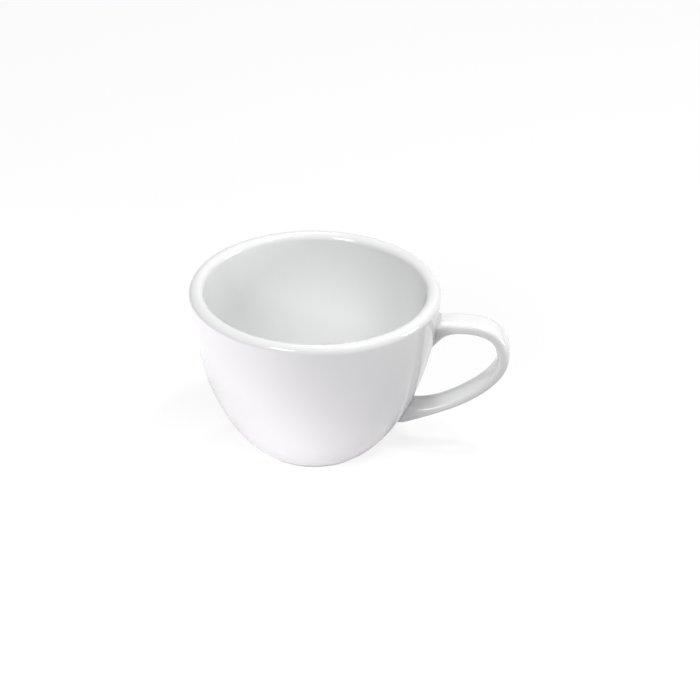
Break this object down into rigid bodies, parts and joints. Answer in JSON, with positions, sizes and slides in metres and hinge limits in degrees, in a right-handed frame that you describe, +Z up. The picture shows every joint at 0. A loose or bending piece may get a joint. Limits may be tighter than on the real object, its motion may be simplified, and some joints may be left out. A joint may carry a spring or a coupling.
{
  "type": "coffee cup",
  "caption": "Low white glazed porcelain coffee cup: tapered round bowl with a thick rounded lip, small foot ring and a strap ear handle.",
  "frame": {"origin": "on the cup's axis, at the plane on which the foot ring stands", "axes": "+Z up the cup's axis, +X towards the handle, the handle's middle plane is XZ"},
  "size_m": [0.1154, 0.09, 0.0632],
  "materials": {
    "bisque": "bare vitrified porcelain, fine and matt where it shows on the ground foot ring",
    "porcelain": "vitrified white porcelain, under the glaze",
    "slip": "fired joining slip of the same porcelain",
    "glaze": "smooth clear gloss glaze over white porcelain"
  },
  "bodies": {
    "root": {"bowl": "bisque", "handle": "porcelain", "upper_slip_joint": "slip", "lower_slip_joint": "slip", "outside_glaze": "glaze", "inside_glaze": "glaze", "handle_glaze": "glaze", "underside_glaze": "glaze"}
  },
  "joints": []
}
